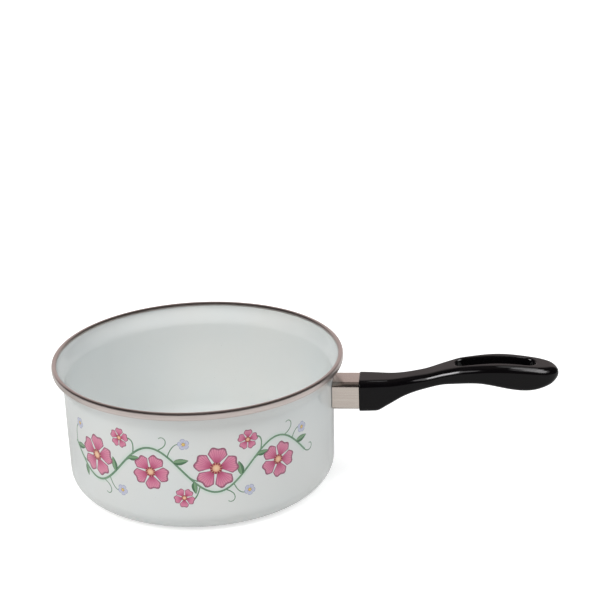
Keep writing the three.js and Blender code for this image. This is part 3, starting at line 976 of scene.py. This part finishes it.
def vine_turn(across):
    """Angle of the vine's wave at an arc."""
    return 2 * np.pi * (across - VINE_PHASE) / VINE_PERIOD


def vine_height(across):
    """Height of the vine at an arc: a sine wave round the middle of the band."""
    return VINE_MIDDLE + VINE_SWING * np.sin(vine_turn(across))


def vine_heading(across):
    """Direction of the vine at an arc, in degrees, from the slope of its wave."""
    slope = VINE_SWING * 2 * np.pi / VINE_PERIOD * np.cos(vine_turn(across))
    return np.degrees(np.arctan(slope))


def branching_line(across, height, radius, start, pull_across, pull_height):
    """Stem from an arc of the vine to a petal: a curve of the second degree with a pull point."""
    middle, pull = np.array([across, height], float), np.array([pull_across, pull_height], float)
    end = middle + STEM_END * radius * (pull - middle) / np.linalg.norm(pull - middle)
    points = np.array([(start, vine_height(start)), pull, end])
    t = np.linspace(0, 1, STEM_POINTS)[:, None]
    return (1 - t) ** 2 * points[0] + 2 * t * (1 - t) * points[1] + t * t * points[2]


def curling_line(start, heading, length, bend, last_bend):
    """Tendril whose bend, in degrees for each millimetre, changes evenly from start to end.

    The heading is the sum of the bends so far, and the points are the sum of the small steps.
    """
    t = np.linspace(0, 1, STEM_POINTS)
    turn = np.radians(heading + length * (bend * t + (last_bend - bend) * t * t / 2))
    step = length / (STEM_POINTS - 1)
    middle = (turn[1:] + turn[:-1]) / 2
    steps_taken = step * np.stack([np.cos(middle), np.sin(middle)], axis=-1)
    way = np.concatenate([np.zeros((1, 2)), np.cumsum(steps_taken, axis=0)])
    return np.array([start, vine_height(start)]) + way


def add_ribbon(name, lines, finish, lift, width, end_width, columns=LINE_COLUMNS):
    """Printed ribbon along each line: its points moved to both sides by shares of the width.

    The width goes from the start's to the end's as a power of the share of the length.
    """
    lines = np.array(lines)
    heading = np.gradient(lines, axis=1)
    heading /= np.linalg.norm(heading, axis=-1, keepdims=True)
    t, share = grid_axes((lines.shape[1], columns), 0, 1)
    side = (share - 0.5) * (width + (end_width - width) * t**RIBBON_TAPER)
    across = lines[..., 0][..., None] - heading[..., 1][..., None] * side
    height = lines[..., 1][..., None] + heading[..., 0][..., None] * side
    add_print(name, across, height, lift, t, share, finish)


def add_leaves(name, arcs, finish):
    """Leaves at arcs of the vine, on its two sides by turns.

    Each is a bent middle line whose half width follows sin(pi t^f)^f, where f is the fullness.
    """
    arcs = np.array(arcs)
    size = np.resize(LEAF_SIZES, len(arcs))
    heading = vine_heading(arcs) + LEAF_ANGLE * np.resize([1, -1], len(arcs))
    columns = [arcs, vine_height(arcs), heading, LEAF_LENGTH * size, LEAF_WIDTH * size]
    base_x, base_z, heading, length, width = columns_of(np.stack(columns, axis=-1), axes=2)
    t, side = grid_axes(LEAF_GRID, -1, 1)
    half = width / 2 * np.sin(np.pi * t**LEAF_FULLNESS) ** LEAF_FULLNESS
    forward = length * t
    sideways = side * half + LEAF_BEND * length * t * t
    turn = np.radians(heading)
    across = base_x + forward * np.cos(turn) - sideways * np.sin(turn)
    height = base_z + forward * np.sin(turn) + sideways * np.cos(turn)
    add_print(name, across, height, LEAF_LIFT, t, (side + 1) / 2, finish)


def add_petals(name, flowers, finish, filled, notch=0.0):
    """Petals of flowers from (arc, height, radius, turn).

    Each petal is a wedge in polar coordinates. Its angle widens from the eye as a sine does, and
    its end falls off to both sides by the third power, with a notch in the middle from a cosine.
    """
    centre_x, centre_z, radius, turn = columns_of(flowers, axes=3)
    t, side = grid_axes(PETAL_GRID, -1, 1)
    spoke = np.radians(turn + np.arange(PETALS)[None, :, None, None] * 360 / PETALS)
    widening = PETAL_FOOT + (1 - PETAL_FOOT) * np.sin(np.pi / 2 * t)
    angle = spoke + side * (np.pi / PETALS * filled * widening)
    reach = 1 - PETAL_ROUND * np.abs(side) ** 3 - notch * np.cos(np.pi * PETAL_WAVE * side)
    far = radius * (PETAL_START + PETAL_LENGTH * t * reach)
    across = centre_x + far * np.cos(angle)
    height = centre_z + far * np.sin(angle)
    add_print(name, across, height, PETAL_LIFT, t, (side + 1) / 2, finish)


def add_eyes(name, flowers, finish, share):
    """Eyes of flowers: discs of a share of the flower's radius, in polar coordinates."""
    centre_x, centre_z, radius, _ = columns_of(flowers, axes=2)
    t, turn = grid_axes(EYE_GRID, 0, 2 * np.pi)
    across = centre_x + radius * share * t * np.cos(turn)
    height = centre_z + radius * share * t * np.sin(turn)
    add_print(name, across, height, EYE_LIFT, t, turn / (2 * np.pi), finish)


def facing(flowers):
    """Arc, height, radius and turn of flowers: one petal points to the pull point of the stem."""
    across, height, radius, _, pull_across, pull_height = np.array(flowers, float).T
    turn = np.degrees(np.arctan2(pull_height - height, pull_across - across))
    return np.stack([across, height, radius, turn], axis=-1)


def flower_print():
    """Border of pink flowers, leaves and blue blossoms along a running vine, on the front wall."""
    flowers, small_flowers, blossoms = map(facing, (FLOWERS, SMALL_FLOWERS, BLOSSOMS))
    across = np.linspace(-VINE_REACH, VINE_REACH, VINE_POINTS)
    vine = [np.stack([across, vine_height(across)], axis=-1)]
    stems = [branching_line(*flower) for flower in FLOWERS + SMALL_FLOWERS]
    tendrils = [branching_line(*blossom) for blossom in BLOSSOMS]
    tendrils += [curling_line(*tendril) for tendril in TENDRILS]

    wash = fired_finish("green_wash", wash_colour)
    green = fired_finish("vine_green", vine_colour)
    leaf = fired_finish("leaf_green", leaf_colour)
    pink = fired_finish("petal_pink", petal_colour)
    eye = fired_finish("flower_eye", eye_colour)
    blue = fired_finish("blossom_blue", blossom_colour)
    yellow = fired_finish("bud_yellow", bud_colour)

    add_ribbon("print_wash", vine, wash, WASH_LIFT, width=7, end_width=6, columns=WASH_COLUMNS)
    add_ribbon("print_vine", vine, green, VINE_LIFT, width=1.5, end_width=1.2)
    add_ribbon("print_stems", stems, green, STEM_LIFT, width=0.9, end_width=1.1)
    add_ribbon("print_tendrils", tendrils, green, STEM_LIFT, width=0.8, end_width=0.5)
    add_leaves("print_leaves", LEAF_ARCS, leaf)
    add_petals("print_petals", flowers, pink, filled=0.94, notch=0.055)
    add_eyes("print_eyes", flowers, eye, share=0.27)
    add_petals("print_small_petals", small_flowers, pink, filled=0.94, notch=0.05)
    add_eyes("print_small_eyes", small_flowers, eye, share=0.27)
    add_petals("print_blossoms", blossoms, blue, filled=0.90)
    add_eyes("print_buds", blossoms, yellow, share=0.30)


# Pieces


def dress_solids(finish, nodes):
    """Finish of solids that stay."""
    for node in nodes:
        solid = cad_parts[node]
        solid.data.materials.clear()
        solid.data.materials.append(finish)


enamel_bowl(fired_finish("white_enamel", enamel_tone))
rolled_rim(steel_finish("rolled_stainless"))
ferrule_sleeve(steel_finish("drawn_stainless"))
grip = moulded_grip(phenolic_finish())
flower_print()
dress_solids(steel_finish("bare_steel"), ["handle_bracket", "bracket_nut"])
dress_solids(steel_finish("zinc_plate"), ["handle_screw", "spring_washer", "plain_washer"])


# Floor, light and camera


def seen_rays(tree):
    """One for rays that show the background straight or through a piece, one for mirrored rays."""
    path = add_node(tree, "ShaderNodeLightPath").outputs
    straight = math_of(tree, "MAXIMUM", path["Is Camera Ray"], path["Is Transmission Ray"])
    return straight, path["Is Glossy Ray"]


def pale_floor():
    """Flat pale floor just under the base, lifted to white where it is seen, with the shadow kept.

    Where it is mirrored, it glows in front of the pan and far behind it, and is dim beside it.
    """
    corner = np.linspace(-FLOOR_REACH, FLOOR_REACH, 3)
    x, y = np.meshgrid(corner, corner)
    points = np.stack([x, y, 0 * x - FLOOR_DROP], axis=-1)
    floor = put_in_scene("floor", make_mesh("floor", sheet(points)))
    finish, tree, shader = start_finish(
        "pale_floor", Roughness=0.9, Specular_IOR_Level=0.0, Emission_Color=grey(1)
    )
    place = place_of(tree)
    paper = mottled(tree, grain(tree, place, scale=30), (214, 214, 213), (218, 218, 217))
    feed(shader, "Base Color", paper)
    straight, reflected = seen_rays(tree)
    away = reach_along(tree, place, FLOOR_AWAY)
    in_front = spread(tree, away, low=1.0, high=0.05, start=-0.03, end=0.045)
    behind = spread(tree, away, low=0.0, high=1.0, start=0.15, end=0.25)
    shine = math_of(tree, "MULTIPLY", math_of(tree, "MAXIMUM", in_front, behind), reflected)
    lift = spread(tree, straight, low=0.0, high=FLOOR_WHITE)
    glow = math_of(tree, "ADD", lift, spread(tree, shine, low=0.0, high=FLOOR_SHINE))
    feed(shader, "Emission Strength", glow)
    floor.data.materials.append(finish)


def toward(azimuth, elevation):
    """Unit vector from the pan to a place round it: azimuth 0 is in front, elevation is upwards."""
    a, e = np.radians(azimuth), np.radians(elevation)
    return Vector((np.sin(a) * np.cos(e), -np.cos(a) * np.cos(e), np.sin(e)))


def studio_world():
    """Dim light from all round and most from above, white where it is seen.

    Where it is mirrored, it is a warm wall behind the pan and a pale ceiling light in a dark room.
    """
    world = bpy.data.worlds.new("studio")
    bpy.context.scene.world = world
    world.use_nodes = True
    tree = world.node_tree
    direction = add_node(tree, "ShaderNodeTexCoord").outputs["Generated"]
    behind = reach_along(tree, direction, toward(*BACK_WALL))
    room = ramp(tree, behind, [(0.62, DARK_ROOM), (0.80, WARM_WALL)])
    height = add_node(tree, "ShaderNodeSeparateXYZ", {0: direction}).outputs["Z"]
    overhead = ramp(tree, height, [(0.88, grey(0)), (0.96, grey(1))])
    mirrored_sky = mix_colour(tree, overhead, room, CEILING_LIGHT)
    open_sky = ramp(tree, height, [(0.0, LOW_SKY), (1.0, HIGH_SKY)])
    straight, reflected = seen_rays(tree)
    soft_sky = mix_colour(tree, reflected, open_sky, mirrored_sky)
    sky = mix_colour(tree, straight, soft_sky, grey(1))
    feed(tree.nodes["Background"], "Color", sky)


def soft_sun(name, azimuth, elevation, strength, width, colour, only=None):
    """Far lamp that is so wide, in degrees, that its shadows are soft.

    Kept to one piece it only gives that piece a highlight, and else it is not mirrored.
    """
    lamp = bpy.data.lights.new(name, "SUN")
    lamp.energy = strength
    lamp.angle = np.radians(width)
    lamp.color = colour
    holder = put_in_scene(name, lamp)
    holder.rotation_euler = (-toward(azimuth, elevation)).to_track_quat("-Z", "Y").to_euler()
    holder.visible_diffuse = only is None
    holder.visible_glossy = only is not None
    if only:
        lit = bpy.data.collections.new(name)
        lit.objects.link(only)
        holder.light_linking.receiver_collection = lit


def photo_camera():
    """Camera at its azimuth and elevation, turned so that the pan's middle lies on its pixel."""
    a, roll = np.radians([CAMERA_AZIMUTH, CAMERA_ROLL])
    back = toward(CAMERA_AZIMUTH, CAMERA_ELEVATION)
    right = Vector((np.cos(a), np.sin(a), 0))
    level = Matrix((right, back.cross(right), back))
    tilt = Matrix.Rotation(roll, 3, "Z")
    half = IMAGE_SIZE / 2
    ray = Vector((PAN_MIDDLE_PIXEL[0] - half, half - PAN_MIDDLE_PIXEL[1], -FOCAL_PIXELS))
    aim = Vector((0, 0, -1)).rotation_difference(ray).to_matrix()
    turn = (aim @ tilt @ level).transposed()
    lens = bpy.data.cameras.new("camera")
    lens.sensor_width = SENSOR
    lens.lens = FOCAL_PIXELS * SENSOR / IMAGE_SIZE
    camera = put_in_scene("camera", lens)
    middle = Vector((0, 0, PAN_MIDDLE * MM))
    camera.matrix_world = Matrix.Translation(middle + back * CAMERA_DISTANCE) @ turn.to_4x4()
    bpy.context.scene.camera = camera


pale_floor()
studio_world()
for lamp_name, lamp_values in ROOM_LAMPS.items():
    soft_sun(lamp_name, *lamp_values)
for lamp_name, lamp_values in GRIP_LAMPS.items():
    soft_sun(lamp_name, *lamp_values, only=grip)
photo_camera()
bpy.context.scene.view_settings.view_transform = "Standard"
